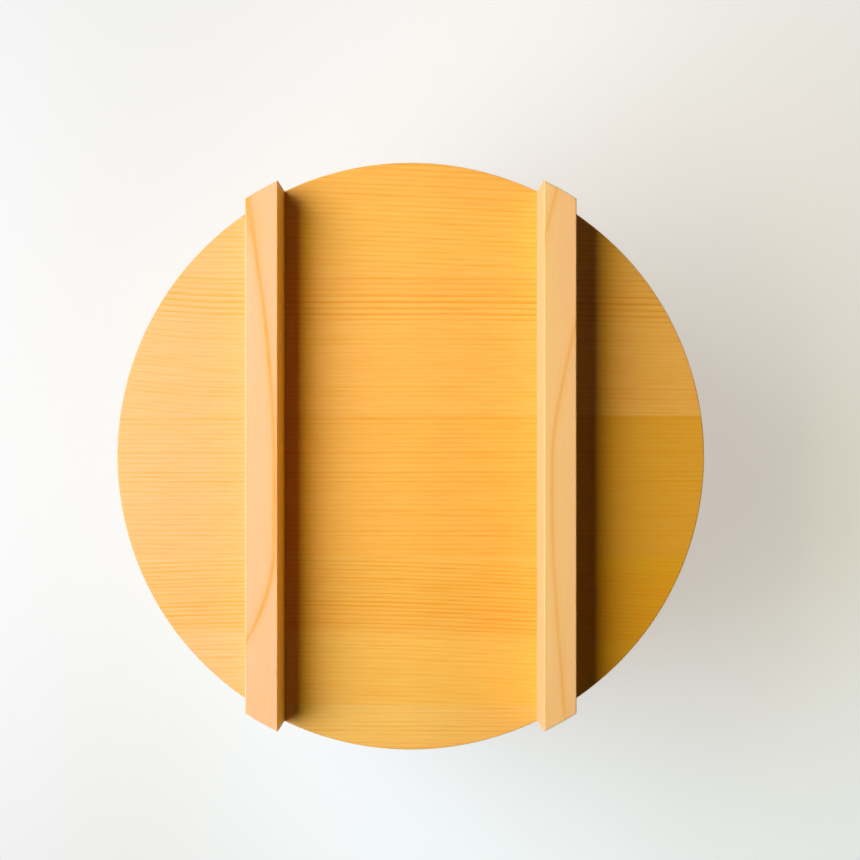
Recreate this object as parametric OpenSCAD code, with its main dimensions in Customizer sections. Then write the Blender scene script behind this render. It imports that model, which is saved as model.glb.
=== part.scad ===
// Round wooden rice tub with a flat lid.
// Staves stand in two copper hoops and hold a bottom of three boards in a groove.
// The lid is glued up from five boards and carries two battens on sliding dovetails.
// The origin is the centre of the foot, +Z is up, and the battens run along Y.

/* [Tub] */
// Height of the tub from its foot to its rim
tub_height = 112; // [96:1:180]
// Outer diameter at the rim
rim_diameter = 206; // [192:1:280]
// How much smaller the outer diameter is at the foot
tub_taper = 10; // [2:0.5:20]
// Thickness of the staves
stave_thickness = 11; // [9:0.5:16]
// Number of staves round the tub
stave_count = 14; // [12:1:18]
// How far the width of one stave differs from the mean, as a share of it
stave_width_spread = 0.14; // [0:0.02:0.24]
// Radius of the rounded edges of the rim
rim_round = 2; // [0.5:0.1:3.5]
// Radius of the rounded edges of the foot
foot_round = 1.2; // [0.4:0.1:2]

/* [Bottom] */
// Height of the bottom's underside above the foot
bottom_lift = 9; // [6:0.5:16]
// Thickness of the bottom boards
bottom_thickness = 12; // [9:0.5:16]
// Width of the middle bottom board
bottom_board_width = 60; // [44:1:76]
// Depth of the groove in the staves that holds the bottom
groove_depth = 4; // [2.5:0.25:5]
// Height and width of the bevel round the bottom's underside
bottom_bevel = 3; // [1:0.25:5]

/* [Hoops] */
// Width of the lower hoop
lower_hoop_width = 12; // [6:0.5:18]
// Height of the lower hoop's lower edge above the foot
lower_hoop_lift = 8; // [3:0.5:20]
// Width of the upper hoop
upper_hoop_width = 9; // [5:0.5:16]
// Distance from the rim down to the upper hoop's upper edge
upper_hoop_drop = 20; // [10:0.5:36]
// Thickness of the copper band
hoop_thickness = 0.9; // [0.5:0.1:1.6]
// Radius of the rounded outer edges of the band
hoop_round = 0.3; // [0.1:0.05:0.45]
// Width of the slanting seam where the ends of a hoop are brazed
seam_width = 0.4; // [0.2:0.1:0.8]
// Depth of that seam below the face of the band
seam_depth = 0.2; // [0.1:0.05:0.4]
// Slant of the seam from upright, in degrees
seam_slant = 35; // [0:1:50]
// Direction in which the seams lie, in degrees from +X
seam_direction = 118; // [0:1:359]

/* [Lid] */
// How far the lid stands out past the rim all round
lid_overhang = 2; // [0.5:0.5:6]
// Thickness of the lid where it lies on the rim
lid_edge_thickness = 10; // [8:0.5:16]
// How far the middle of the lid drops into the tub
lid_drop = 5; // [2:0.5:9]
// Radius of the rounded edges of the lid
lid_round = 0.4; // [0.3:0.1:1.5]
// Width of the narrow front board, as all widths here before the boards are fitted to the lid
front_board_width = 16; // [12:0.5:24]
// Width of the second board
second_board_width = 53; // [40:0.5:64]
// Width of each of the two middle boards
middle_board_width = 50.5; // [40:0.5:64]
// Width of the back board
back_board_width = 40; // [30:0.5:56]

/* [Battens] */
// Distance between the middles of the two battens
batten_spacing = 102.5; // [70:0.5:124]
// Width of a batten where it lies on the lid
batten_width = 12.2; // [10:0.1:18]
// Height of a batten above the lid
batten_height = 18; // [10:0.5:30]
// How far each side of a batten leans in from its base to its top
batten_lean = 0.5; // [0:0.1:2]
// Radius of the rounded upper edges of a batten
batten_round = 0.4; // [0.3:0.1:1.5]
// Depth of a batten's dovetail in the lid
dovetail_depth = 5; // [3:0.5:6.5]
// Width of the dovetail at the face of the lid
dovetail_neck = 9; // [6:0.1:9.6]
// How much wider the dovetail is on each side at its foot
dovetail_flare = 1; // [0.4:0.1:1.6]

/* [Pegs] */
// Diameter of the bamboo pegs
peg_diameter = 3; // [2:0.1:4]
// Length of the bamboo pegs
peg_length = 16; // [10:0.5:22]
// Height of the lower pegs of the staves above the foot
stave_peg_lift = 38; // [28:0.5:46]
// Distance from the rim down to the upper pegs of the staves
stave_peg_drop = 34; // [20:0.5:40]
// Distance of the lid's pegs from the middle of the nearest batten
lid_peg_distance = 26; // [14:0.5:30]
// Spacing of the pegs along a joint of the bottom
bottom_peg_spacing = 44; // [34:0.5:60]
// Least wood between a peg and the rim of its board
peg_cover = 2.5; // [1.5:0.5:6]

/* [Fits] */
// Gap all round the bottom in its groove
bottom_gap = 0.15; // [0.05:0.05:0.4]
// Gap between a hoop and the staves
hoop_gap = 0.05; // [0.02:0.01:0.2]
// Gap between a dovetail and its groove
dovetail_gap = 0.08; // [0.02:0.01:0.3]
// Gap round a peg in its hole
peg_gap = 0.05; // [0.02:0.01:0.2]
// Gap between the end of a peg and the end of its hole
peg_end_gap = 0.5; // [0.2:0.1:1.5]
// Play of the lid in the mouth of the tub
lid_play = 1.2; // [0.4:0.1:3]

/* [Hidden] */
rim_radius = rim_diameter / 2;
foot_radius = rim_radius - tub_taper / 2;
wall_angle = atan((rim_radius - foot_radius) / tub_height);

bottom_top = bottom_lift + bottom_thickness;
groove_low = bottom_lift + bottom_bevel - bottom_gap;
groove_high = bottom_top + bottom_gap;

lid_radius = rim_radius + lid_overhang;
lid_top = tub_height + lid_edge_thickness;
lid_peg_height = tub_height + lid_edge_thickness / 2;
bottom_peg_height = bottom_lift + bottom_thickness / 2;

peg_radius = peg_diameter / 2;
hole_radius = peg_radius + peg_gap;
hole_length = peg_length + 2 * peg_end_gap;

// Overlap by which a cutting shape passes the face that it cuts
past = 1;
// Steps in each rounded edge
round_steps = 5;
// The joints between staves lie on whole steps of this angle, so that neighbours share one plane
angle_step = 0.05;
$fn = 144;

stave_wood = [0.91, 0.74, 0.48];
lid_wood = [0.96, 0.70, 0.32];
batten_wood = [0.95, 0.80, 0.58];
bottom_wood = [0.93, 0.78, 0.54];
copper = [0.80, 0.47, 0.32];
bamboo = [0.84, 0.76, 0.52];

function two_digits(i) = str(i < 10 ? "0" : "", i);
stave_names = [for (i = [1 : stave_count]) str("stave_", two_digits(i))];

// Radius of the outer and inner faces of the wall at a height above the foot
function wall_outer(z) = foot_radius + (rim_radius - foot_radius) * z / tub_height;
function wall_inner(z) = wall_outer(z) - stave_thickness;
function wall_middle(z) = wall_outer(z) - stave_thickness / 2;

groove_radius = wall_inner(groove_high) + groove_depth;
bottom_radius = groove_radius - bottom_gap;
// Radius at which the bottom's bevel ends, just inside the wall
tongue_start = wall_inner(bottom_lift) - bottom_gap;
drop_radius = wall_inner(tub_height - lid_drop) - lid_play;

// Each stave's share of the full circle, and the direction of each joint between two staves
function stave_share(i) = 1 + stave_width_spread * sin(137.5 * i);
function shares_up_to(i) = i < 1 ? 0 : shares_up_to(i - 1) + stave_share(i);
function stave_edge(i) = angle_step * round(360 * shares_up_to(i) / shares_up_to(stave_count) / angle_step);

// Edges of the boards along Y, from front to back
lid_boards = concat(
    [front_board_width, second_board_width],
    [middle_board_width, middle_board_width, back_board_width]
);
function boards_up_to(i) = i < 1 ? 0 : boards_up_to(i - 1) + lid_boards[i - 1];
all_boards = boards_up_to(len(lid_boards));
lid_edges = [for (i = [0 : len(lid_boards)]) lid_radius * (2 * boards_up_to(i) / all_boards - 1)];
bottom_edges = [-bottom_radius, -bottom_board_width / 2, bottom_board_width / 2, bottom_radius];

// Joints between boards: every edge but the first and the last
function joints(edges) = [for (i = [1 : len(edges) - 2]) edges[i]];

// Places for pegs along X: on both sides of each batten, and evenly along the bottom
lid_peg_places = [for (side = [-1, 1], way = [-1, 1]) side * (batten_spacing / 2 + way * lid_peg_distance)];
bottom_peg_places = [for (step = [-1.5 : 1 : 1.5]) step * bottom_peg_spacing];

// Those places along a joint where a peg has enough wood round it
function covered(places, joint, radius) = [
    for (x = places)
    if (norm([x, abs(joint) + hole_length / 2]) + hole_radius + peg_cover < radius) x
];

// Part of a circle as points, from one angle to another in steps
function arc(centre, radius, from, to) = [
    for (i = [0 : round_steps])
    let (a = from + (to - from) * i / round_steps)
    centre + radius * [cos(a), sin(a)]
];

// Section through the wall: tapered, with rounded edges at rim and foot and a groove inside
module wall_section() {
    shoulder = tub_height - rim_round;
    polygon(concat(
        arc([wall_outer(foot_round) - foot_round, foot_round], foot_round, 270, 360),
        arc([wall_outer(shoulder) - rim_round, shoulder], rim_round, 0, 90),
        arc([wall_inner(shoulder) + rim_round, shoulder], rim_round, 90, 180),
        [[wall_inner(groove_high), groove_high], [groove_radius, groove_high]],
        [[groove_radius, groove_low], [wall_inner(groove_low), groove_low]],
        arc([wall_inner(foot_round) + foot_round, foot_round], foot_round, 180, 270)
    ));
}

// A round bar across the joint at one edge of a stave, halfway through the wall
module bar_at_stave_joint(edge, z, radius, length) {
    rotate([0, 0, edge])
        translate([wall_middle(z), 0, z])
            rotate([90, 0, 0])
                cylinder(r = radius, h = length, center = true);
}

module bars_at_stave_joint(edge, radius, length) {
    bar_at_stave_joint(edge, stave_peg_lift, radius, length);
    bar_at_stave_joint(edge, tub_height - stave_peg_drop, radius, length);
}

module stave(i) {
    first = stave_edge(i - 1);
    last = stave_edge(i);
    color(stave_wood)
        difference() {
            rotate_extrude(angle = last - first, start = first) wall_section();
            bars_at_stave_joint(first, hole_radius, hole_length);
            bars_at_stave_joint(last, hole_radius, hole_length);
        }
}

module stave_pegs() {
    color(bamboo)
        for (i = [1 : stave_count]) bars_at_stave_joint(stave_edge(i), peg_radius, peg_length);
}

// A round bar across a joint between two boards that lie edge to edge
module bar_at_board_joint(x, joint, z, radius, length) {
    translate([x, joint, z])
        rotate([90, 0, 0])
            cylinder(r = radius, h = length, center = true);
}

module lid_bars(radius, length) {
    for (joint = joints(lid_edges), x = covered(lid_peg_places, joint, lid_radius))
        bar_at_board_joint(x, joint, lid_peg_height, radius, length);
}

module bottom_bars(radius, length) {
    for (joint = joints(bottom_edges), x = covered(bottom_peg_places, joint, bottom_radius))
        bar_at_board_joint(x, joint, bottom_peg_height, radius, length);
}

// The strip of a round blank that lies between two neighbouring edges
module board_of(edges, i, radius) {
    intersection() {
        children();
        translate([-radius - past, edges[i - 1], 0])
            cube([2 * (radius + past), edges[i] - edges[i - 1], 2 * tub_height]);
    }
}

// Round bottom with a bevel underneath, so that its edge fits the groove
module bottom_blank() {
    rotate_extrude()
        polygon([
            [0, bottom_lift],
            [tongue_start - bottom_bevel, bottom_lift],
            [tongue_start, bottom_lift + bottom_bevel],
            [bottom_radius, bottom_lift + bottom_bevel],
            [bottom_radius, bottom_top],
            [0, bottom_top]
        ]);
}

module bottom_board(i) {
    color(bottom_wood)
        difference() {
            board_of(bottom_edges, i, bottom_radius) bottom_blank();
            bottom_bars(hole_radius, hole_length);
        }
}

module bottom_pegs() {
    color(bamboo) bottom_bars(peg_radius, peg_length);
}

// Copper band that follows the taper of the wall between two heights
module hoop(low, high) {
    outer_gap = hoop_gap + hoop_thickness;
    middle = (low + high) / 2;
    color(copper)
        difference() {
            rotate_extrude()
                polygon(concat(
                    [[wall_outer(low) + hoop_gap, low]],
                    arc([wall_outer(low) + outer_gap - hoop_round, low + hoop_round], hoop_round, 270, 360),
                    arc([wall_outer(high) + outer_gap - hoop_round, high - hoop_round], hoop_round, 0, 90),
                    [[wall_outer(high) + hoop_gap, high]]
                ));
            rotate([0, 0, seam_direction])
                translate([wall_outer(middle) + outer_gap - seam_depth, 0, middle])
                    rotate([0, wall_angle, 0])
                        rotate([seam_slant, 0, 0])
                            translate([0, -seam_width / 2, -high])
                                cube([past, seam_width, 2 * high]);
        }
}

module lower_hoop() {
    hoop(lower_hoop_lift, lower_hoop_lift + lower_hoop_width);
}

module upper_hoop() {
    upper_edge = tub_height - upper_hoop_drop;
    hoop(upper_edge - upper_hoop_width, upper_edge);
}

// Section of a dovetail, grown by a gap, with the face of the lid at zero
module dovetail(gap) {
    neck = dovetail_neck / 2 + gap;
    foot = neck + dovetail_flare;
    polygon([[-neck, 0], [-foot, -dovetail_depth - gap], [foot, -dovetail_depth - gap], [neck, 0]]);
}

// Section of a batten above the lid, with leaning sides and rounded upper edges
module batten_section() {
    base = batten_width / 2;
    side_angle = atan(batten_lean / batten_height);
    centre = [base - batten_lean - batten_round, batten_height - batten_round];
    polygon(concat(
        [[-base, 0], [base, 0]],
        arc(centre, batten_round, side_angle, 90),
        arc([-centre.x, centre.y], batten_round, 90, 180 - side_angle)
    ));
}

// Draws a section across the whole lid, along one batten
module along_batten(side) {
    translate([side * batten_spacing / 2, 0, lid_top])
        rotate([90, 0, 0])
            linear_extrude(height = 2 * (lid_radius + past), center = true)
                children();
}

// Ring that rounds the lid's upper edge, except under the battens
module upper_edge_cut() {
    centre = [lid_radius - lid_round, lid_top - lid_round];
    difference() {
        rotate_extrude()
            polygon(concat(
                arc(centre, lid_round, 0, 90),
                [[centre.x, lid_top + past], [lid_radius + past, lid_top + past]],
                [[lid_radius + past, centre.y]]
            ));
        for (side = [-1, 1])
            translate([side * batten_spacing / 2 - batten_width / 2, -lid_radius - 2 * past, tub_height])
                cube([batten_width, 2 * (lid_radius + 2 * past), 2 * lid_edge_thickness]);
    }
}

// Round lid: a plate on the rim with a middle that drops into the tub
module lid_blank() {
    underside = tub_height - lid_drop;
    difference() {
        rotate_extrude()
            polygon(concat(
                [[0, underside]],
                arc([drop_radius - lid_round, underside + lid_round], lid_round, 270, 360),
                [[drop_radius, tub_height]],
                arc([lid_radius - lid_round, tub_height + lid_round], lid_round, 270, 360),
                [[lid_radius, lid_top], [0, lid_top]]
            ));
        upper_edge_cut();
    }
}

module lid_board(i) {
    color(lid_wood)
        difference() {
            board_of(lid_edges, i, lid_radius) lid_blank();
            for (side = [-1, 1]) along_batten(side) dovetail(dovetail_gap);
            lid_bars(hole_radius, hole_length);
        }
}

module lid_pegs() {
    color(bamboo) lid_bars(peg_radius, peg_length);
}

// Round end shape that cuts the battens flush with the lid, with a rounded upper edge
module batten_ends() {
    low = lid_top - dovetail_depth;
    high = lid_top + batten_height;
    rotate_extrude()
        polygon(concat(
            [[0, low - past], [lid_radius, low - past]],
            arc([lid_radius - batten_round, high - batten_round], batten_round, 0, 90),
            [[0, high]]
        ));
}

module batten(side) {
    color(batten_wood)
        intersection() {
            along_batten(side) {
                batten_section();
                dovetail(0);
            }
            batten_ends();
        }
}

for (i = [1 : stave_count])
    stave(i);
stave_pegs();
bottom_board(1);  // bottom_board_1
bottom_board(2);  // bottom_board_2
bottom_board(3);  // bottom_board_3
bottom_pegs();
lower_hoop();
upper_hoop();
lid_board(1);  // lid_board_1
lid_board(2);  // lid_board_2
lid_board(3);  // lid_board_3
lid_board(4);  // lid_board_4
lid_board(5);  // lid_board_5
lid_pegs();
batten(-1);  // batten_left
batten(1);  // batten_right
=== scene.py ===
"""Looks of a round wooden rice tub with a flat lid and two battens.

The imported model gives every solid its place. This script dresses each solid in its finish, lays the
table and sets the lamp and the camera. Lengths are metres unless a name ends in _mm.
"""
import logging
import math
from dataclasses import dataclass
from enum import Enum
from typing import Any, List, Optional, Tuple, Union

import bmesh
import bpy
from mathutils import Euler, Matrix, Vector


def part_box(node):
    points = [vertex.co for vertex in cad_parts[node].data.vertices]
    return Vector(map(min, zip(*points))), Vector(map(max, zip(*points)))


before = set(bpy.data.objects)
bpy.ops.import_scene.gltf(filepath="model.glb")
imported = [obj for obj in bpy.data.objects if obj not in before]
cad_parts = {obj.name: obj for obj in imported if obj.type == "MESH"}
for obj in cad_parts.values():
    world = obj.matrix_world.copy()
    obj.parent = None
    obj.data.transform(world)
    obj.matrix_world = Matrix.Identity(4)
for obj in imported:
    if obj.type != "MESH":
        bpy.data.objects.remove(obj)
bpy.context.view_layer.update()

MM = 0.001

Socket = bpy.types.NodeSocket
Node = bpy.types.Node
Owner = Union[bpy.types.Material, bpy.types.World]
Colour = Tuple[float, float, float, float]
Range = Tuple[float, float]

# Early wood, late wood and blush of one wood.
Tones = Tuple[Colour, Colour, Colour]

BLACK: Colour = (0.0, 0.0, 0.0, 1.0)

# How fast red, green and blue fade in a deeper shade of wood.
SHADE_POWERS = (1.0, 1.5, 2.0)

# Where Blender's Mix node has its share, its two colours and its mixed colour.
MIX_INPUTS = (0, 6, 7)
MIX_OUTPUT = 2

log = logging.getLogger("rice_tub")


def tone(red: int, green: int, blue: int) -> Colour:
    """Turns a display colour into the linear colour that a shader takes.

    Args:
        red: Red part, 0 to 255.
        green: Green part, 0 to 255.
        blue: Blue part, 0 to 255.

    Returns:
        The linear colour with an alpha of 1.
    """
    def linear(part: int) -> float:
        """Takes the sRGB display curve off one part."""
        share = part / 255.0
        return share / 12.92 if share <= 0.04045 else ((share + 0.055) / 1.055) ** 2.4

    return linear(red), linear(green), linear(blue), 1.0


class Grain(Enum):
    """The way the fibres of a piece run, as the turn that lays the trunk's axis along them."""

    ALONG_X = Euler((0.0, 0.0, 0.0))
    ALONG_Y = Euler((0.0, 0.0, math.radians(90.0)))
    UPRIGHT = Euler((0.0, math.radians(-90.0), 0.0))

    def axis(self) -> Vector:
        """Gives the direction of the fibres."""
        return self.value.to_matrix() @ Vector((1.0, 0.0, 0.0))


class Sway(Enum):
    """What differs from piece to piece, as the step and the start of its wave in radians."""

    TONE = (2.4, 0.0)
    HEART = (2.1, 0.0)
    LEAN_ALONG = (1.7, 0.0)
    LEAN_ACROSS = (2.9, math.pi / 2.0)
    RINGS = (3.3, 0.0)

    def at(self, number: int) -> float:
        """Gives the value of the piece with that number, from -1 to 1."""
        step, start = self.value
        return math.sin(step * number + start)


def shaded(colour: Colour, spread: float, number: int) -> Colour:
    """Gives one piece of a set a deeper or a paler shade, as the pieces of one trunk differ.

    Args:
        colour: Colour of the whole set.
        spread: Largest share of the light to add or take.
        number: Number of the piece.

    Returns:
        The shaded colour.
    """
    shade = 1.0 + spread * Sway.TONE.at(number)
    red, green, blue = (part * shade ** power for part, power in zip(colour, SHADE_POWERS))
    return red, green, blue, 1.0


class Graph:
    """Node graph of a material or of the world, built by short calls that return output sockets."""

    def __init__(self, owner: Owner) -> None:
        """Starts an empty graph.

        Args:
            owner: New material or world that the graph is for.
        """
        owner.use_nodes = True
        self.owner = owner
        self.tree = owner.node_tree
        self.tree.nodes.clear()

    def add(self, kind: str, *values: Any, **settings: Any) -> Node:
        """Adds a node.

        Args:
            kind: Blender's name of the node type, without its ShaderNode prefix.
            *values: What its first inputs take, in their order.
            **settings: Properties to set on the node.

        Returns:
            The new node.
        """
        node = self.tree.nodes.new("ShaderNode" + kind)
        for key, value in settings.items():
            setattr(node, key, value)
        for socket, value in zip(node.inputs, values):
            self.feed(socket, value)
        return node

    def feed(self, socket: Socket, value: Any) -> None:
        """Links a socket to an input, or sets the input to a plain value.

        Args:
            socket: Input to feed.
            value: Output socket, number, vector or colour.
        """
        if isinstance(value, bpy.types.NodeSocket):
            self.tree.links.new(value, socket)
        else:
            socket.default_value = value

    def fill(self, node: Node, **inputs: Any) -> None:
        """Feeds a node's inputs by their names.

        Args:
            node: Node to feed.
            **inputs: Values or sockets, with underscores for the spaces in a name.
        """
        for name, value in inputs.items():
            self.feed(node.inputs[name.replace("_", " ")], value)

    def sum(self, operation: str, first: Any, second: Any = 0.0, third: Any = 0.0) -> Socket:
        """Does one sum.

        Args:
            operation: Blender's name of the operation.
            first: First operand, a socket or a number.
            second: Second operand.
            third: Third operand.

        Returns:
            The result's socket.
        """
        return self.add("Math", first, second, third, operation=operation).outputs[0]

    def times(self, first: Any, second: Any) -> Socket:
        """Multiplies two numbers."""
        return self.sum("MULTIPLY", first, second)

    def plus(self, first: Any, second: Any) -> Socket:
        """Adds two numbers."""
        return self.sum("ADD", first, second)

    def minus(self, first: Any, second: Any) -> Socket:
        """Takes the second number from the first."""
        return self.sum("SUBTRACT", first, second)

    def span(self, value: Any, low: float, high: float) -> Socket:
        """Stretches a value from 0 to 1 over the numbers from low to high."""
        return self.sum("MULTIPLY_ADD", value, high - low, low)

    def blend(self, low: float, high: float, value: Any, straight: bool = False) -> Socket:
        """Rises from 0 to 1 while a value goes from low to high, and stays level outside them.

        Args:
            low: Value that gives 0.
            high: Value that gives 1.
            value: Value to follow.
            straight: Whether it rises evenly, in place of smoothly.

        Returns:
            The share's socket.
        """
        node = self.add("MapRange", interpolation_type="LINEAR" if straight else "SMOOTHSTEP")
        self.fill(node, Value=value, From_Min=low, From_Max=high)
        return node.outputs["Result"]

    def place_mm(self) -> Tuple[Socket, Socket, Socket]:
        """Gives the place on the tub in millimetres."""
        return self.split(self.stretch(self.add("TexCoord").outputs["Object"], 1.0 / MM, 1.0 / MM, 1.0 / MM))

    def split(self, vector: Socket) -> Tuple[Socket, Socket, Socket]:
        """Takes a vector apart into the sockets of its three parts."""
        parts = self.add("SeparateXYZ", vector).outputs
        return parts[0], parts[1], parts[2]

    def join(self, x: Any, y: Any, z: Any) -> Socket:
        """Puts three numbers together as a vector."""
        return self.add("CombineXYZ", x, y, z).outputs[0]

    def stretch(self, vector: Socket, x: float, y: float, z: float) -> Socket:
        """Scales a vector along its axes.

        Args:
            vector: Vector's socket.
            x: Factor along X.
            y: Factor along Y.
            z: Factor along Z.

        Returns:
            The scaled vector's socket.
        """
        return self.add("VectorMath", vector, (x, y, z), operation="MULTIPLY").outputs[0]

    def noise(self, vector: Socket, detail: float, roughness: float) -> Socket:
        """Gives soft noise over space, from 0 to 1 about a mean of a half.

        Args:
            vector: Place, with one wave to each unit.
            detail: Number of finer layers.
            roughness: Share of each finer layer.

        Returns:
            The noise's socket.
        """
        node = self.add("TexNoise", noise_dimensions="3D")
        self.fill(node, Vector=vector, Scale=1.0, Detail=detail, Roughness=roughness)
        return node.outputs["Fac"]

    def line_noise(self, along: Any, scale: float, detail: float = 0.0) -> Socket:
        """Gives soft noise along one number, from 0 to 1.

        Args:
            along: Number to follow.
            scale: Waves in each unit of the number.
            detail: Number of finer layers.

        Returns:
            The noise's socket.
        """
        node = self.add("TexNoise", noise_dimensions="1D")
        self.fill(node, W=along, Scale=scale, Detail=detail)
        return node.outputs["Fac"]

    def dice(self, number: Any) -> Socket:
        """Gives each whole number a random value of its own.

        Args:
            number: Whole number to follow.

        Returns:
            The socket of a value from 0 to 1.
        """
        node = self.add("TexWhiteNoise", noise_dimensions="1D")
        self.fill(node, W=number)
        return node.outputs["Value"]

    def mix(self, share: Any, first: Any, second: Any, way: str = "MIX") -> Socket:
        """Mixes two colours.

        Args:
            share: Share of the second colour.
            first: First colour.
            second: Second colour.
            way: Blender's name of the way to mix them.

        Returns:
            The mixed colour's socket.
        """
        node = self.add("Mix", data_type="RGBA", blend_type=way, clamp_factor=True)
        for place, value in zip(MIX_INPUTS, (share, first, second)):
            self.feed(node.inputs[place], value)
        return node.outputs[MIX_OUTPUT]

    def bump(self, height_mm: Socket) -> Socket:
        """Turns a height in millimetres into a surface normal.

        Args:
            height_mm: Height's socket.

        Returns:
            The normal's socket.
        """
        node = self.add("Bump")
        self.fill(node, Distance=MM, Height=height_mm)
        return node.outputs["Normal"]

    def backdrop(self, colour: Colour, strength: float) -> Socket:
        """Gives a plain background of one colour."""
        return self.add("Background", colour, strength).outputs[0]

    def choose(self, share: Socket, first: Socket, second: Socket) -> Socket:
        """Mixes two shaders by the share of the second."""
        return self.add("MixShader", share, first, second).outputs[0]

    def surface(self, **inputs: Any) -> Owner:
        """Ends the graph in one surface shader.

        Args:
            **inputs: Values or sockets for the shader, with underscores for spaces.

        Returns:
            The finished material.
        """
        shader = self.add("BsdfPrincipled")
        self.fill(shader, **inputs)
        return self.end("OutputMaterial", shader.outputs[0])

    def end(self, kind: str, shader: Socket) -> Owner:
        """Ends the graph in a shader.

        Args:
            kind: Blender's name of the output node, without its ShaderNode prefix.
            shader: Shader's socket.

        Returns:
            The finished material or world.
        """
        self.add(kind, shader)
        return self.owner


@dataclass(frozen=True)
class Waves:
    """Soft noise drawn out along the fibres, counted in waves to the millimetre."""

    along: float
    across: float
    detail: float = 1.0
    roughness: float = 0.5

    def over(self, graph: Graph, place: Socket) -> Socket:
        """Gives the noise at a place.

        Args:
            graph: Graph to build in.
            place: Place in millimetres, with X along the fibres.

        Returns:
            The socket of a value from 0 to 1.
        """
        drawn_out = graph.stretch(place, self.along, self.across, self.across)
        return graph.noise(drawn_out, self.detail, self.roughness)


@dataclass(frozen=True)
class BowSide:
    """One half of the way that growth lines bend along a piece.

    From start_mm the lines leave their straight middle, first by curve times the square of the way and
    later, past ease_mm, at a steady slope.
    """

    start_mm: float
    curve: float
    ease_mm: float

    def offset(self, graph: Graph, way: Socket) -> Socket:
        """Gives how far the lines have left their middle.

        Args:
            graph: Graph to build in.
            way: Way along the piece past the start, or less than 0 before it.

        Returns:
            The socket of the distance in millimetres.
        """
        along = graph.times(graph.sum("MAXIMUM", way, 0.0), 1.0 / self.ease_mm)
        root = graph.sum("SQRT", graph.plus(graph.times(along, along), 1.0))
        return graph.times(graph.minus(root, 1.0), 2.0 * self.curve * self.ease_mm ** 2)


@dataclass(frozen=True)
class Bow:
    """The whole bend of growth lines along a piece, one side towards each end."""

    low: BowSide
    high: BowSide

    def offset(self, graph: Graph, place: Socket) -> Socket:
        """Gives how far the lines stand from their middle.

        Args:
            graph: Graph to build in.
            place: Place along the piece in millimetres.

        Returns:
            The socket of the distance in millimetres.
        """
        high = self.high.offset(graph, graph.minus(place, self.high.start_mm))
        low = self.low.offset(graph, graph.minus(self.low.start_mm, place))
        return graph.plus(high, low)


@dataclass(frozen=True)
class BoldZone:
    """Stretch across a board where the years grew wide and their lines are strong.

    It reaches reach_mm to both sides of middle_mm from the heart, and fades between the two shares of
    that reach in edge. The lines' strength is inside times as much in it and outside times as much
    beyond it. It has years_less fewer rings, and late wood tints its ground by the share in tint.
    """

    middle_mm: float
    reach_mm: float
    inside: float
    outside: float
    years_less: float = 0.0
    tint: float = 0.0
    edge: Range = (1.25, 0.75)

    def share(self, graph: Graph, across: Socket) -> Socket:
        """Tells how far a place is in the zone.

        Args:
            graph: Graph to build in.
            across: Distance from the zone's middle.

        Returns:
            The socket of a share from 0 beyond the zone to 1 inside it.
        """
        outer, inner = self.edge
        return graph.blend(self.reach_mm * outer, self.reach_mm * inner, graph.sum("ABSOLUTE", across))


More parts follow.
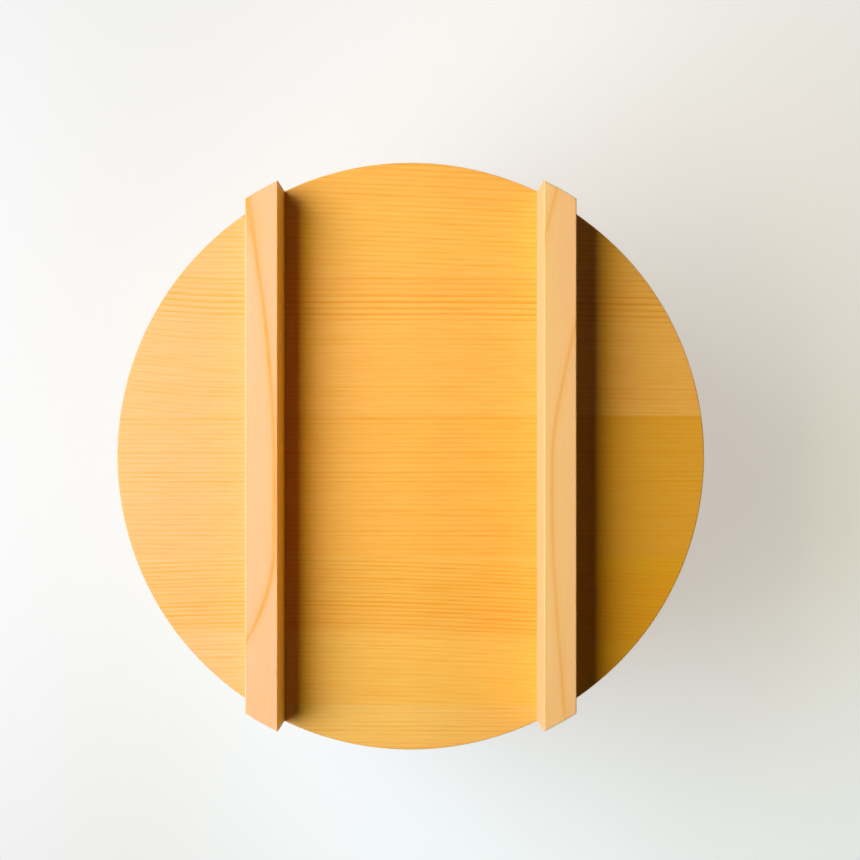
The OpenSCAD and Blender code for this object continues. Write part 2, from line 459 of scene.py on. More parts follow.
@dataclass(frozen=True)
class WoodFinish:
    """Planed, unfinished softwood, cut from a trunk with growth rings round its heart.

    The trunk's axis runs along the fibres. heart_mm is a point on that axis, and turn_deg leans the
    fibres a little from the way that grain gives. Early wood is the pale ground of each ring and late
    wood its dark line. A depth is a share of late wood or of another colour. A rise, zone or turn is the
    two values between which something goes from none to full. A fade or luck is the least and the most
    that a strength is multiplied by.
    """

    name: str
    grain: Grain
    heart_mm: Tuple[float, float, float]
    early: Colour
    late: Colour
    blush: Colour
    turn_deg: Tuple[float, float, float] = (0.0, 0.0, 0.0)
    bow: Optional[Bow] = None
    bold: Optional[BoldZone] = None
    seed: float = 0.0

    ring_mm: float = 1.75
    ring_drift: float = 0.8
    drift_waves: float = 0.09
    drift_detail: float = 1.0
    wander_mm: float = 0.8
    wander_waves: Waves = Waves(0.005, 0.03)
    ripple_mm: float = 0.16
    ripple_waves: Waves = Waves(0.035, 0.4)

    line_rise: Range = (0.25, 0.80)
    line_power: float = 1.4
    line_fall: float = 0.87
    line_depth: Range = (0.18, 0.43)
    line_fade: Range = (0.55, 1.45)
    fade_waves: Waves = Waves(0.03, 0.6)
    hairs_in_mm: float = 1.35
    hair_luck: Range = (0.1, 1.0)
    hair_zone: Range = (0.40, 0.62)
    hair_waves: float = 0.11
    hair_shift_mm: float = 40.0
    hair_depth: float = 0.16

    blush_depth: float = 0.5
    blush_zone: Range = (0.38, 0.66)
    blush_waves: Waves = Waves(0.008, 0.05, 2.0)
    streak_depth: float = 0.31
    streak_zone: Range = (0.42, 0.72)
    fibre_waves: Waves = Waves(0.05, 1.9, 2.0, 0.6)
    pore_waves: Waves = Waves(0.22, 8.0)

    # Painted highlight and shade: towards the left end, nearest the lamp, the ground turns peachier and less
    # green, the pale look of strong light, which also holds back the stronger light there.
    left_tone: Optional[Colour] = None
    painted_highlight_zone_mm: Range = (-40.0, -62.0)
    # Painted shade: towards the right end, in the shade of the right batten, the ground turns darker, deeper
    # and less blue.
    right_tone: Optional[Colour] = None
    painted_shade_zone_mm: Range = (42.0, 60.0)
    # Painted light and shade on one long side, picked by which way the face points: a shade tone on a side
    # away from the lamp, a highlight tone on a side facing it.
    painted_side_tone: Optional[Colour] = None
    painted_side_sign: float = 1.0
    painted_side_turn: Range = (0.5, 0.9)
    end_tint: Colour = (0.84, 0.71, 0.52, 1.0)
    end_turn: Range = (0.45, 0.95)

    roughness: float = 0.58
    fibre_roughness: float = 0.14
    line_roughness: float = -0.10
    line_height_mm: float = 0.03
    fibre_height_mm: float = 0.025
    pore_height_mm: float = 0.010
    sheen_level: float = 0.35
    glow: float = 0.14
    glow_mm: float = 1.0
    glow_reach: Tuple[float, float, float] = (1.0, 0.38, 0.10)

    def trunk_place(self, graph: Graph) -> Socket:
        """Gives the place in the trunk, in millimetres, with X along the fibres.

        Args:
            graph: Graph to build in.

        Returns:
            The place's socket.
        """
        lean = Euler([math.radians(angle) for angle in self.turn_deg])
        node = graph.add("Mapping", vector_type="TEXTURE")
        graph.fill(
            node,
            Vector=graph.add("TexCoord").outputs["Object"],
            Location=[part * MM for part in self.heart_mm],
            Rotation=(lean.to_matrix() @ self.grain.value.to_matrix()).to_euler(),
            Scale=(MM, MM, MM),
        )
        return node.outputs["Vector"]

    def radius(self, graph: Graph, trunk: Socket) -> Socket:
        """Gives the distance from the heart, with the wander that real rings have.

        Args:
            graph: Graph to build in.
            trunk: Place in the trunk.

        Returns:
            The socket of the distance in millimetres.
        """
        x, y, z = graph.split(trunk)
        if self.bow:
            y = graph.plus(y, self.bow.offset(graph, x))
        plain = graph.sum("SQRT", graph.plus(graph.times(y, y), graph.times(z, z)))
        return graph.plus(plain, self.wander(graph, trunk))

    def wander(self, graph: Graph, trunk: Socket) -> Socket:
        """Gives how far the rings stray: long slow bends, and short ripples.

        Args:
            graph: Graph to build in.
            trunk: Place in the trunk.

        Returns:
            The socket of the distance in millimetres.
        """
        slow = self.wander_waves.over(graph, trunk)
        quick = self.ripple_waves.over(graph, trunk)
        return graph.plus(graph.span(slow, -self.wander_mm, self.wander_mm),
                          graph.span(quick, -self.ripple_mm, self.ripple_mm))

    def lines(self, graph: Graph, trunk: Socket, radius: Socket) -> Socket:
        """Gives the dark lines of the rings, uneven in spacing and strength.

        Args:
            graph: Graph to build in.
            trunk: Place in the trunk.
            radius: Distance from the heart.

        Returns:
            The socket of the share of late wood.
        """
        drift = graph.times(graph.line_noise(radius, self.drift_waves, self.drift_detail), self.ring_drift)
        count = graph.plus(graph.sum("MULTIPLY_ADD", radius, 1.0 / self.ring_mm, self.seed), drift)
        zone = self.bold
        if zone:
            across = graph.minus(radius, zone.middle_mm)
            years = graph.blend(-zone.reach_mm, zone.reach_mm, across, straight=True)
            count = graph.minus(count, graph.times(years, zone.years_less))
        part = graph.sum("FRACT", count)
        rise = graph.sum("POWER", graph.blend(*self.line_rise, part), self.line_power)
        shape = graph.times(rise, graph.blend(1.0, self.line_fall, part))
        depth = graph.span(graph.dice(graph.sum("FLOOR", count)), *self.line_depth)
        fade = graph.span(self.fade_waves.over(graph, trunk), *self.line_fade)
        line = graph.times(graph.times(shape, depth), fade)
        if zone:
            share = zone.share(graph, across)
            line = graph.times(line, graph.span(share, zone.outside, zone.inside))
            line = graph.sum("MULTIPLY_ADD", share, zone.tint, line)
        return line

    def hairs(self, graph: Graph, radius: Socket) -> Socket:
        """Gives the hairlines between the stronger lines, in the stretches that grew slowly.

        Args:
            graph: Graph to build in.
            radius: Distance from the heart.

        Returns:
            The socket of the share of late wood.
        """
        count = graph.times(radius, self.hairs_in_mm)
        wave = graph.times(graph.sum("PINGPONG", count, 0.5), 2.0)
        luck = graph.span(graph.dice(graph.sum("FLOOR", count)), *self.hair_luck)
        pace = graph.line_noise(graph.plus(radius, self.hair_shift_mm + self.seed), self.hair_waves)
        slow = graph.blend(*self.hair_zone, pace)
        return graph.times(graph.times(wave, luck), graph.times(slow, self.hair_depth))

    def end_grain(self, graph: Graph) -> Socket:
        """Tells how squarely a face cuts across the fibres.

        Args:
            graph: Graph to build in.

        Returns:
            The socket of a share from 0 on a side to 1 on an end.
        """
        normal = graph.add("TexCoord").outputs["Normal"]
        node = graph.add("VectorMath", normal, self.grain.axis(), operation="DOT_PRODUCT")
        return graph.blend(*self.end_turn, graph.sum("ABSOLUTE", node.outputs["Value"]))

    def paint_light_and_shade(self, graph: Graph, ground: Socket) -> Socket:
        """Paints light and shade into the ground: a highlight tone towards the left end, a shade tone towards
        the right end, and a tone of painted light and shade on one long side.

        Args:
            graph: Graph to build in.
            ground: Ground colour.

        Returns:
            The turned colour's socket.
        """
        x, _, _ = graph.place_mm()
        if self.left_tone:
            ground = graph.mix(graph.blend(*self.painted_highlight_zone_mm, x), ground, self.left_tone)
        if self.right_tone:
            ground = graph.mix(graph.blend(*self.painted_shade_zone_mm, x), ground, self.right_tone)
        if self.painted_side_tone:
            way, _, _ = graph.split(graph.add("TexCoord").outputs["Normal"])
            squarely = graph.blend(*self.painted_side_turn, graph.times(way, self.painted_side_sign))
            ground = graph.mix(squarely, ground, self.painted_side_tone)
        return ground

    def colour(self, graph: Graph, trunk: Socket, late: Socket, fibre: Socket) -> Socket:
        """Gives the colour: blushed ground with its painted light and shade, dark lines and streaks, and a
        deeper tone on the ends.

        Args:
            graph: Graph to build in.
            trunk: Place in the trunk.
            late: Share of late wood.
            fibre: Noise of the fibres.

        Returns:
            The colour's socket.
        """
        cloud = graph.blend(*self.blush_zone, self.blush_waves.over(graph, trunk))
        ground = graph.mix(graph.times(cloud, self.blush_depth), self.early, self.blush)
        ground = self.paint_light_and_shade(graph, ground)
        streak = graph.times(graph.blend(*self.streak_zone, fibre), self.streak_depth)
        wood = graph.mix(graph.sum("MINIMUM", graph.plus(late, streak), 1.0), ground, self.late)
        return graph.mix(self.end_grain(graph), wood, self.end_tint, way="MULTIPLY")

    def relief_mm(self, graph: Graph, trunk: Socket, late: Socket, fibre: Socket) -> Socket:
        """Gives how high the lines, the fibres and the pores stand.

        Args:
            graph: Graph to build in.
            trunk: Place in the trunk.
            late: Share of late wood.
            fibre: Noise of the fibres.

        Returns:
            The socket of the height in millimetres.
        """
        height = graph.times(fibre, self.fibre_height_mm)
        height = graph.sum("MULTIPLY_ADD", late, self.line_height_mm, height)
        pore = self.pore_waves.over(graph, trunk)
        return graph.sum("MULTIPLY_ADD", pore, self.pore_height_mm, height)

    def material(self) -> bpy.types.Material:
        """Builds the finish.

        Returns:
            The finished material.
        """
        graph = Graph(bpy.data.materials.new(self.name))
        trunk = self.trunk_place(graph)
        radius = self.radius(graph, trunk)
        late = graph.plus(self.lines(graph, trunk, radius), self.hairs(graph, radius))
        fibre = self.fibre_waves.over(graph, trunk)
        smoothest = self.roughness - self.fibre_roughness / 2.0
        rough = graph.sum("MULTIPLY_ADD", fibre, self.fibre_roughness, smoothest)
        rough = graph.sum("MULTIPLY_ADD", late, self.line_roughness, rough)
        return graph.surface(
            Base_Color=self.colour(graph, trunk, late, fibre),
            Roughness=rough,
            Specular_IOR_Level=self.sheen_level,
            Subsurface_Weight=self.glow,
            Subsurface_Scale=self.glow_mm * MM,
            Subsurface_Radius=self.glow_reach,
            Normal=graph.bump(self.relief_mm(graph, trunk, late, fibre)),
        )


@dataclass(frozen=True)
class BattenFinish(WoodFinish):
    """Flat-sawn batten: its rings lie nearly level, and one of them breaks through the top in a bow.

    thin_share and soft_share are the widths of a line and of the shade beside it, as shares of a ring.
    line_depth is how strong the shade and the line are. Towards the ends, between the two distances in
    full_ends_mm, both widen until they are 1 / end_scale as wide.
    """

    top_mm: float = 140.0
    tilt: float = 0.2
    bow_mm: float = 0.0
    bow_sign: float = 1.0
    thin_share: float = 0.055
    soft_share: float = 0.16
    full_ends_mm: Range = (200.0, 300.0)
    end_scale: float = 0.45
    line_fade: Range = (0.5, 1.5)
    fade_waves: Waves = Waves(0.05, 0.3)

    def radius(self, graph: Graph, trunk: Socket) -> Socket:
        """Gives the height above the ring that breaks through the top, in place of a radius.

        Args:
            graph: Graph to build in.
            trunk: Place in the trunk.

        Returns:
            The socket of the distance in millimetres.
        """
        x, y, z = graph.place_mm()
        bow = graph.sum("MULTIPLY_ADD", self.bow.offset(graph, y), self.bow_sign, self.bow_mm)
        level = graph.sum("MULTIPLY_ADD", graph.minus(x, bow), self.tilt, graph.minus(z, self.top_mm))
        return graph.plus(level, self.wander(graph, trunk))

    def lines(self, graph: Graph, trunk: Socket, radius: Socket) -> Socket:
        """Gives the rings' lines, each a thin line with a soft shade beside it.

        Args:
            graph: Graph to build in.
            trunk: Place in the trunk.
            radius: Height above the ring that breaks through.

        Returns:
            The socket of the share of late wood.
        """
        part = graph.sum("FRACT", graph.sum("MULTIPLY_ADD", radius, 1.0 / self.ring_mm, 0.5))
        off = graph.sum("ABSOLUTE", graph.minus(part, 0.5))
        _, y, _ = graph.place_mm()
        full = graph.span(graph.blend(*self.full_ends_mm, graph.sum("ABSOLUTE", y)), 1.0, self.end_scale)
        off = graph.times(off, full)
        soft_depth, thin_depth = self.line_depth
        thin = graph.times(graph.blend(self.thin_share, 0.0, off), thin_depth)
        soft = graph.times(graph.blend(self.soft_share, 0.0, off), soft_depth)
        fade = graph.span(self.fade_waves.over(graph, trunk), *self.line_fade)
        return graph.times(graph.plus(thin, soft), fade)


@dataclass(frozen=True)
class StaveFinish(WoodFinish):
    """Wood of one stave, a little darker where it meets its neighbours."""

    middle_deg: float = 0.0
    half_deg: float = 12.0
    joint_mm: float = 0.45

    def lines(self, graph: Graph, trunk: Socket, radius: Socket) -> Socket:
        """Adds the thin dark seam at both edges of the stave to its grain.

        Args:
            graph: Graph to build in.
            trunk: Place in the trunk.
            radius: Distance from the heart.

        Returns:
            The socket of the share of late wood.
        """
        x, y, _ = graph.place_mm()
        cosine = math.cos(math.radians(self.middle_deg))
        sine = math.sin(math.radians(self.middle_deg))
        out = graph.plus(graph.times(x, cosine), graph.times(y, sine))
        side = graph.minus(graph.times(y, cosine), graph.times(x, sine))
        turn = graph.sum("ABSOLUTE", graph.sum("ARCTAN2", side, out))
        left = graph.times(graph.minus(math.radians(self.half_deg), turn), out)
        seam = graph.blend(self.joint_mm, 0.0, left)
        return graph.plus(super().lines(graph, trunk, radius), seam)


@dataclass(frozen=True)
class CopperFinish:
    """Satin copper band, drawn lengthwise, and a little uneven from fitting."""

    name: str
    bright: Colour
    dull: Colour
    radius_mm: float
    drawn_waves: Waves = Waves(0.05, 5.0, 3.0, 0.6)
    drawn_zone: Range = (0.35, 0.75)
    drawn_depth: float = 0.3
    cloud_waves: Waves = Waves(0.04, 0.12, 3.0)
    cloud_zone: Range = (0.32, 0.72)
    cloud_depth: float = 0.5
    dent_waves: Waves = Waves(0.09, 0.11)
    smoothest: float = 0.20
    drawn_roughness: float = 0.14
    cloud_roughness: float = 0.10
    drawn_height_mm: float = 0.005
    dent_height_mm: float = 0.12

    def material(self) -> bpy.types.Material:
        """Builds the finish.

        Returns:
            The finished material.
        """
        graph = Graph(bpy.data.materials.new(self.name))
        x, y, z = graph.place_mm()
        band = graph.join(graph.times(graph.sum("ARCTAN2", y, x), self.radius_mm), z, 0.0)
        drawn = self.drawn_waves.over(graph, band)
        cloud = self.cloud_waves.over(graph, band)
        streaky = graph.times(graph.blend(*self.drawn_zone, drawn), self.drawn_depth)
        cloudy = graph.times(graph.blend(*self.cloud_zone, cloud), self.cloud_depth)
        rough = graph.sum("MULTIPLY_ADD", drawn, self.drawn_roughness, self.smoothest)
        rough = graph.sum("MULTIPLY_ADD", cloud, self.cloud_roughness, rough)
        dents = graph.times(self.dent_waves.over(graph, band), self.dent_height_mm)
        return graph.surface(
            Base_Color=graph.mix(graph.plus(cloudy, streaky), self.bright, self.dull),
            Metallic=1.0,
            Roughness=rough,
            Normal=graph.bump(graph.sum("MULTIPLY_ADD", drawn, self.drawn_height_mm, dents)),
        )


@dataclass(frozen=True)
class TableFinish:
    """White table top, whose seen tone is set apart from the light that it throws back.

    What the eye sees is a plain tone with some lit white over it, so a shadow on it stays soft and
    warm. Farther out the paper tone takes over, and the table runs into the surroundings. A pair of
    lit tones runs from left to right over turn_x, and from the front pair to the back pair over turn_y.
    """

    name: str
    white: Colour
    plain: Colour
    lit_back: Tuple[Colour, Colour]
    lit_front: Tuple[Colour, Colour]
    paper: Colour
    turn_x: Range = (-0.15, 0.10)
    turn_y: Range = (-0.12, 0.12)
    near: float = 0.24
    far: float = 0.52

    def material(self) -> bpy.types.Material:
        """Builds the finish.

        Returns:
            The finished material.
        """
        graph = Graph(bpy.data.materials.new(self.name))
        path = graph.add("LightPath")
        seen = graph.sum("MAXIMUM", path.outputs["Is Camera Ray"], path.outputs["Is Glossy Ray"])
        seen = graph.sum("MAXIMUM", seen, path.outputs["Is Transmission Ray"])
        x, y, _ = graph.split(graph.add("TexCoord").outputs["Object"])
        reach = graph.sum("SQRT", graph.plus(graph.times(x, x), graph.times(y, y)))
        away = graph.blend(self.near, self.far, reach)
        side = graph.blend(*self.turn_x, x)
        front = graph.mix(side, *self.lit_front)
        back = graph.mix(side, *self.lit_back)
        lit = graph.mix(graph.blend(*self.turn_y, y), front, back)
        lit = graph.mix(away, lit, BLACK)
        matt = graph.add("BsdfDiffuse", graph.mix(seen, self.white, lit))
        tone_only = graph.add("Emission", graph.mix(away, self.plain, self.paper), seen)
        both = graph.add("AddShader", matt.outputs[0], tone_only.outputs[0])
        return graph.end("OutputMaterial", both.outputs[0])


def dress(node: str, material: bpy.types.Material) -> None:
    """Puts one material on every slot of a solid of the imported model.

    Args:
        node: Name of the solid.
        material: Finish to wear.
    """
    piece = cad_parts[node]
    if not piece.material_slots:
        piece.data.materials.append(material)
    for slot in piece.material_slots:
        slot.material = material
    log.info("%s wears %s", node, material.name)


@dataclass
class Lid:
    """Round lid of five boards glued edge to edge, with the fibres along X."""

    late: Colour = tone(230, 147, 0)
    blush: Colour = tone(243, 176, 80)
    # Painted highlight: the tone that the boards take towards their left end, nearest the lamp.
    left: Colour = tone(236, 167, 106)
    heart_off_mm: float = 330.0
    heart_low_mm: float = 82.0
    second_bow: Bow = Bow(BowSide(-43.0, 0.00056, 60.0), BowSide(-43.0, 0.00056, 60.0))
    fourth_bow: Bow = Bow(BowSide(-64.0, -0.0023, 40.0), BowSide(0.0, 0.00012, 200.0))
    back_bow: Bow = Bow(BowSide(-75.0, 0.00044, 60.0), BowSide(-75.0, 0.00044, 60.0))

    def across(self, side: float, y_mm: float) -> float:
        """Gives how far the lid's top at y_mm is from a board's heart.

        Args:
            side: Side that the heart is on, 1 or -1.
            y_mm: Place along Y.

        Returns:
            The distance in millimetres.
        """
        top_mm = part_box("lid_board_3")[1].z / MM
        return math.hypot(y_mm - side * self.heart_off_mm, top_mm - self.heart_low_mm)

    def board(self, place: str, side: float, early: Colour, **fields: Any) -> WoodFinish:
        """Gives one board's finish, with its heart far off to one side and well below.

        Args:
            place: Where the board lies in the lid.
            side: Side that its heart is on, 1 or -1.
            early: Its early wood.
            **fields: Further fields of the finish, which go before the lid's late wood, blush and painted
                      highlight tone.

        Returns:
            The finish.
        """
        heart = (0.0, side * self.heart_off_mm, self.heart_low_mm)
        tones = {"late": self.late, "blush": self.blush, "left_tone": self.left}
        return WoodFinish(f"lid_{place}_board_wood", Grain.ALONG_X, heart, early, **{**tones, **fields})

    def boards(self) -> List[WoodFinish]:
        """Lists the boards' finishes.

        Returns:
            One finish for each board, from front to back.
        """
        front_stretch = BoldZone(middle_mm=self.across(1.0, -49.0), reach_mm=13.0, inside=1.08, outside=0.64,
                                 years_less=-1.2, tint=0.18)
        back_stretch = BoldZone(middle_mm=self.across(1.0, 56.5), reach_mm=8.5, inside=1.62, outside=0.74,
                                years_less=2.2)
        # The second board also takes a painted highlight tone at its left end, and the second and third
        # boards a painted shade tone at their right end.
        return [
            self.board("front", -1.0, tone(237, 190, 97), ring_mm=1.5, seed=0.31, line_depth=(0.13, 0.39)),
            self.board("second", 1.0, tone(239, 185, 80), ring_mm=1.6, seed=0.70, line_depth=(0.22, 0.49),
                       blush=tone(240, 182, 88), left_tone=tone(237, 172, 113), right_tone=tone(231, 170, 28),
                       bow=self.second_bow, bold=front_stretch),
            self.board("third", -1.0, tone(241, 178, 74), ring_mm=1.7, seed=0.12,
                       right_tone=tone(231, 168, 47)),
            self.board("fourth", 1.0, tone(243, 181, 83), ring_mm=1.6, seed=0.11,
                       bow=self.fourth_bow, bold=back_stretch),
            self.board("back", 1.0, tone(243, 183, 81), ring_mm=1.8, seed=0.87, bow=self.back_bow),
        ]

    def build(self) -> None:
        """Dresses the five boards."""
        for number, finish in enumerate(self.boards(), start=1):
            dress(f"lid_board_{number}", finish.material())


@dataclass
class Battens:
    """Two battens of paler wood across the lid, with the fibres along Y.

    The left one's right side, away from the lamp, has a painted shade tone, and the right one's left side,
    facing the lamp, a painted highlight tone.
    wood to the left.
    """

    left_tones: Tones = (tone(242, 177, 127), tone(242, 152, 44), tone(243, 179, 132))
    right_tones: Tones = (tone(244, 196, 125), tone(240, 162, 56), tone(243, 188, 129))
    # Painted shade, then painted highlight: the left batten's right side, away from the lamp, is saturated
    # and low in blue as bounced light makes it; the right batten's left side, facing the lamp, is paler and
    # bluer as strong light looks.
    painted_shade_side: Colour = tone(250, 203, 60)
    painted_highlight_side: Colour = tone(241, 182, 130)
    left_bow: Bow = Bow(BowSide(-30.7, 0.0087, 200.0), BowSide(-8.4, 0.00105, 200.0))
    right_bow: Bow = Bow(BowSide(-15.3, 0.0013, 36.0), BowSide(-1.6, 0.0071, 18.0))

    def finish(self, node: str, tones: Tones, **fields: Any) -> BattenFinish:
        """Gives a batten's finish.

        Args:
            node: Name of the batten's solid.
            tones: Its early wood, late wood and blush.
            **fields: Further fields of the finish.

        Returns:
            The finish, with its rings counted from the batten's top.
        """
        return BattenFinish(
            f"{node}_wood", Grain.ALONG_Y, (0.0, 0.0, 0.0), *tones,
            wander_mm=0.10,
            ripple_mm=0.03,
            hair_depth=0.05,
            blush_depth=0.7,
            streak_depth=0.12,
            top_mm=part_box(node)[1].z / MM,
            **fields,
        )

    def build(self) -> None:
        """Dresses both battens."""
        left = self.finish("batten_left", self.left_tones, bow=self.left_bow, bow_mm=-46.9, bow_sign=-1.0,
                           seed=0.4, ring_mm=5.2, tilt=0.13, thin_share=0.026, soft_share=0.075,
                           line_depth=(0.25, 0.50), full_ends_mm=(62.0, 82.0), painted_side_tone=self.painted_shade_side)
        right = self.finish("batten_right", self.right_tones, bow=self.right_bow, bow_mm=48.4,
                            seed=0.8, ring_mm=3.6, line_depth=(0.14, 0.38),
                            painted_side_tone=self.painted_highlight_side, painted_side_sign=-1.0)
        dress("batten_left", left.material())
        dress("batten_right", right.material())


@dataclass
class Wall:
    """Round wall of staves, with the fibres upright and the rings square to the face.

    A stave's heart lies beside it, on the other side at every stave whose number is a multiple of
    swap_every. The sway fields are the most by which a size differs from stave to stave.
    """

    early: Colour = tone(246, 183, 90)
    late: Colour = tone(228, 144, 36)
    blush: Colour = tone(243, 175, 92)
    tone_spread: float = 0.10
    heart_off_mm: float = 240.0
    heart_out_mm: float = 96.0
    heart_sway_mm: float = 30.0
    swap_every: int = 3
    lean_sway_deg: float = 0.9
    ring_mm: float = 1.9
    ring_sway_mm: float = 0.4
    seed_step: float = 0.37

    def staves(self) -> List[str]:
        """Lists the staves' names."""
        return sorted(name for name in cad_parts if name.startswith("stave_") and name != "stave_pegs")

    def reach_deg(self, node: str) -> Tuple[float, float]:
        """Gives where a stave stands on the wall.

        Args:
            node: Name of the stave.

        Returns:
            The angle of its middle and half the angle that it takes, in degrees.
        """
        low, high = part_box(node)
        aim = math.atan2(low.y + high.y, low.x + high.x)
        turns = []
        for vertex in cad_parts[node].data.vertices:
            turn = math.atan2(vertex.co.y, vertex.co.x) - aim
            turns.append((turn + math.pi) % (2.0 * math.pi) - math.pi)
        middle = aim + (min(turns) + max(turns)) / 2.0
        return math.degrees(middle), math.degrees(max(turns) - min(turns)) / 2.0

    def finish(self, number: int, node: str) -> StaveFinish:
        """Gives one stave's finish.

        Args:
            number: Number of the stave.
            node: Name of its solid.

        Returns:
            The finish, with its trunk beside the stave.
        """
        middle, half = self.reach_deg(node)
        out = Vector((math.cos(math.radians(middle)), math.sin(math.radians(middle)), 0.0))
        side = Vector((-out.y, out.x, 0.0)) * (1.0 if number % self.swap_every else -1.0)
        out_mm = self.heart_out_mm + self.heart_sway_mm * Sway.HEART.at(number)
        heart = out * out_mm + side * self.heart_off_mm
        leans = [self.lean_sway_deg * sway.at(number) for sway in (Sway.LEAN_ALONG, Sway.LEAN_ACROSS)]
        return StaveFinish(
            f"{node}_wood", Grain.UPRIGHT, (heart.x, heart.y, 0.0),
            shaded(self.early, self.tone_spread, number), self.late, self.blush,
            turn_deg=(*leans, 0.0),
            ring_mm=self.ring_mm + self.ring_sway_mm * Sway.RINGS.at(number),
            seed=self.seed_step * number,
            line_depth=(0.16, 0.48),
            hair_depth=0.14,
            streak_depth=0.28,
            middle_deg=middle,
            half_deg=half,
        )

    def build(self) -> None:
        """Dresses every stave."""
        for number, node in enumerate(self.staves(), start=1):
            dress(node, self.finish(number, node).material())


@dataclass
class Bottom:
    """Three bottom boards with the fibres along X."""

    early: Colour = tone(245, 192, 108)
    late: Colour = tone(226, 150, 62)
    blush: Colour = tone(242, 182, 110)
    tone_spread: float = 0.10
    heart_sides_mm: Tuple[float, float, float] = (-280.0, 310.0, 290.0)
    heart_low_mm: float = -30.0
    leans_deg: Tuple[float, float, float] = (-0.8, 0.0, 0.8)
    seed_step: float = 0.6

    def build(self) -> None:
        """Dresses the three boards."""
        for number, (heart_y, lean) in enumerate(zip(self.heart_sides_mm, self.leans_deg), start=1):
            finish = WoodFinish(
                f"bottom_board_{number}_wood", Grain.ALONG_X, (0.0, heart_y, self.heart_low_mm),
                shaded(self.early, self.tone_spread, number), self.late, self.blush,
                turn_deg=(0.0, 0.0, lean),
                seed=self.seed_step * number,
                line_depth=(0.20, 0.54),
                hair_depth=0.15,
                streak_depth=0.30,
            )
            dress(f"bottom_board_{number}", finish.material())


@dataclass
class Hoops:
    """Two copper hoops round the wall."""

    bright: Colour = tone(230, 151, 108)
    dull: Colour = tone(194, 114, 76)

    def build(self) -> None:
        """Dresses both hoops."""
        for node in ("lower_hoop", "upper_hoop"):
            low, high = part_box(node)
            finish = CopperFinish(f"{node}_copper", self.bright, self.dull, (high.x - low.x) / 2.0 / MM)
            dress(node, finish.material())


@dataclass
class Pegs:
    """Bamboo pegs inside the joints."""

    early: Colour = tone(222, 200, 140)
    late: Colour = tone(186, 154, 88)
    heart_mm: Tuple[float, float, float] = (60.0, 60.0, 0.0)
    ring_mm: float = 0.5

    def build(self) -> None:
        """Dresses the three sets of pegs."""
        sets = (("stave_pegs", Grain.UPRIGHT), ("bottom_pegs", Grain.ALONG_Y), ("lid_pegs", Grain.ALONG_Y))
        for node, grain in sets:
            finish = WoodFinish(f"{node}_bamboo", grain, self.heart_mm, self.early, self.late, self.early,
                                ring_mm=self.ring_mm)
            dress(node, finish.material())


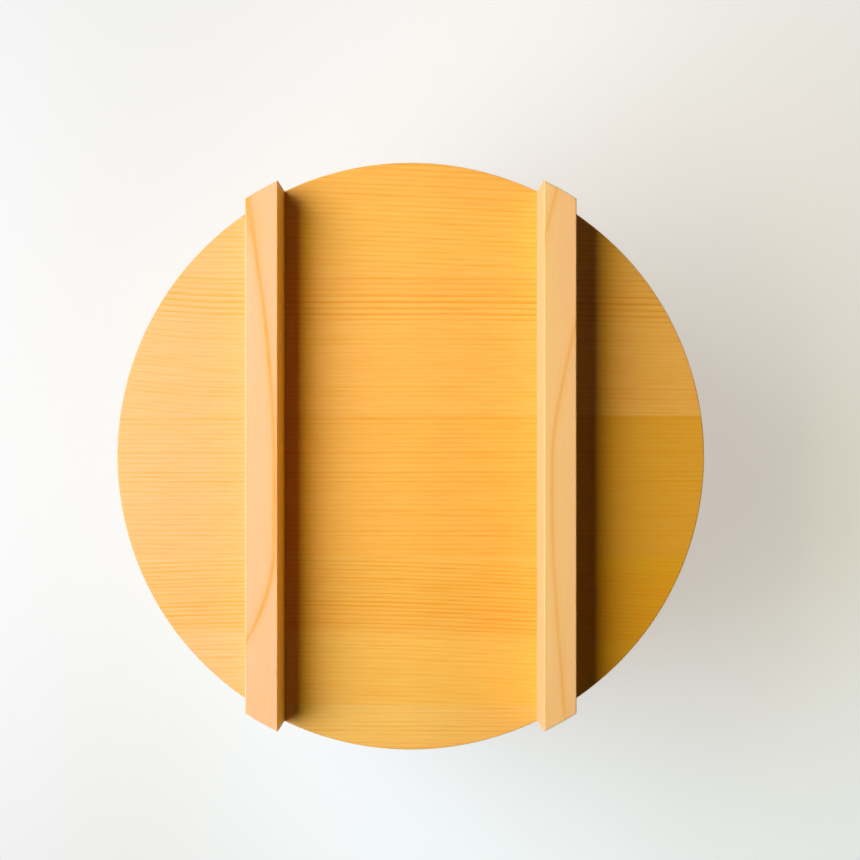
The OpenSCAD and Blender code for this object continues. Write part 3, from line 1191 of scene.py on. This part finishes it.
@dataclass
class Studio:
    """White table, one broad soft lamp from the left, and the camera straight above the lid.

    The lamp is made of strips side by side. A strip is its two edges, counted from the lamp's middle
    towards its high edge, and its colour. A pair of lit tones is what the table shows at left and at right.
    """

    table_size: float = 30.0
    table_squares: int = 8
    table_gap: float = 0.0002
    lamp_middle: Tuple[float, float, float] = (-0.348, 0.060, 0.476)
    lamp_aim: Tuple[float, float, float] = (-0.082, 0.060, 0.177)
    lamp_depth: float = 0.62
    lamp_watts_m2: float = 19.4
    lamp_strips: Tuple[Tuple[float, float, Colour], ...] = (
        (-0.220, 0.120, (1.0, 1.04, 1.24, 1.0)),
        (0.120, 0.220, (1.0, 0.90, 0.30, 1.0)),
    )
    eye: Tuple[float, float, float] = (-0.0010, -0.0012, 0.5546)
    lens_mm: float = 50.63
    sensor_mm: float = 36.0
    shift: Tuple[float, float] = (0.0257, 0.0343)
    nearest: float = 0.01
    white: Colour = tone(240, 240, 239)
    plain: Colour = (0.55, 0.51, 0.46, 1.0)
    lit_back: Tuple[Colour, Colour] = ((0.27, 0.30, 0.32, 1.0), (0.455, 0.49, 0.51, 1.0))
    lit_front: Tuple[Colour, Colour] = ((0.275, 0.32, 0.34, 1.0), (0.48, 0.63, 0.73, 1.0))
    paper: Colour = tone(243, 243, 241)
    fill: Colour = (0.97, 0.95, 0.93, 1.0)
    fill_strength: float = 0.014
    low_fill: Colour = (1.0, 0.94, 0.86, 1.0)
    low_fill_strength: float = 0.78
    low_fill_rise: Range = (0.05, 0.28)
    sky_strength: float = 0.06
    skyline_strength: float = 0.75
    skyline_rise: Range = (0.05, 0.75)

    def facing(self, place: Vector, target: Vector, up: Vector) -> Matrix:
        """Places something that looks along its own -Z at a target.

        Args:
            place: Where it stands.
            target: What it looks at.
            up: The way that its own +Y points, as nearly as can be.

        Returns:
            The matrix that stands it there.
        """
        ahead = (target - place).normalized()
        right = ahead.cross(up).normalized()
        turn = Matrix((right, right.cross(ahead), -ahead)).transposed()
        return Matrix.Translation(place) @ turn.to_4x4()

    def lay_table(self) -> None:
        """Lays a wide flat table top under the foot."""
        squares = self.table_squares
        mesh = bpy.data.meshes.new("table_top")
        builder = bmesh.new()
        bmesh.ops.create_grid(builder, x_segments=squares, y_segments=squares, size=self.table_size / 2.0)
        builder.to_mesh(mesh)
        builder.free()
        table = bpy.data.objects.new("table_top", mesh)
        table.location.z = -self.table_gap
        bpy.context.scene.collection.objects.link(table)
        finish = TableFinish("white_table", self.white, self.plain, self.lit_back, self.lit_front, self.paper)
        mesh.materials.append(finish.material())

    def hang_lamp(self) -> None:
        """Hangs the broad lamp to the left of the lid, in strips from its low edge to its high edge."""
        stand = self.facing(Vector(self.lamp_middle), Vector(self.lamp_aim), Vector((0.0, 1.0, 0.0)))
        for number, (low, high, colour) in enumerate(self.lamp_strips, start=1):
            light = bpy.data.lights.new(f"window_{number}", "AREA")
            light.shape = "RECTANGLE"
            light.size, light.size_y = high - low, self.lamp_depth
            light.energy = self.lamp_watts_m2 * light.size * light.size_y
            light.color = colour[:3]
            lamp = bpy.data.objects.new(f"window_{number}", light)
            lamp.matrix_world = stand @ Matrix.Translation(((low + high) / 2.0, 0.0, 0.0))
            bpy.context.scene.collection.objects.link(lamp)

    def paint_world(self) -> None:
        """Makes the surroundings pale to the eye, and dim as a light.

        Soft light comes from low down all round and keeps the shaded sides' colour. The copper mirrors a
        pale skyline under a dim sky.
        """
        world = bpy.data.worlds.new("pale_room")
        bpy.context.scene.world = world
        graph = Graph(world)
        path = graph.add("LightPath")
        _, _, height = graph.split(graph.add("TexCoord").outputs["Generated"])
        mirrored = graph.choose(graph.blend(*self.skyline_rise, height),
                                graph.backdrop(self.paper, self.skyline_strength),
                                graph.backdrop(self.fill, self.sky_strength))
        lighting = graph.choose(graph.blend(*self.low_fill_rise, height),
                                graph.backdrop(self.low_fill, self.low_fill_strength),
                                graph.backdrop(self.fill, self.fill_strength))
        unseen = graph.choose(path.outputs["Is Glossy Ray"], lighting, mirrored)
        final = graph.choose(path.outputs["Is Camera Ray"], unseen, graph.backdrop(self.paper, 1.0))
        graph.end("OutputWorld", final)

    def set_camera(self) -> None:
        """Stands the camera straight above the lid, a little off its middle."""
        lens = bpy.data.cameras.new("eye")
        lens.lens = self.lens_mm
        lens.sensor_width = self.sensor_mm
        lens.shift_x, lens.shift_y = self.shift
        lens.clip_start = self.nearest
        camera = bpy.data.objects.new("eye", lens)
        camera.location = self.eye
        bpy.context.scene.collection.objects.link(camera)
        bpy.context.scene.camera = camera

    def build(self) -> None:
        """Sets up the table, the lamp, the surroundings and the camera."""
        self.lay_table()
        self.hang_lamp()
        self.paint_world()
        self.set_camera()
        bpy.context.scene.view_settings.view_transform = "Standard"


def main() -> None:
    """Builds every part of the scene in order and reports each one."""
    logging.basicConfig(level=logging.INFO, format="%(name)s: %(message)s")
    for part in (Studio(), Lid(), Battens(), Wall(), Bottom(), Hoops(), Pegs()):
        part.build()
        log.info("%s is built", type(part).__name__)


if __name__ == "__main__":
    main()
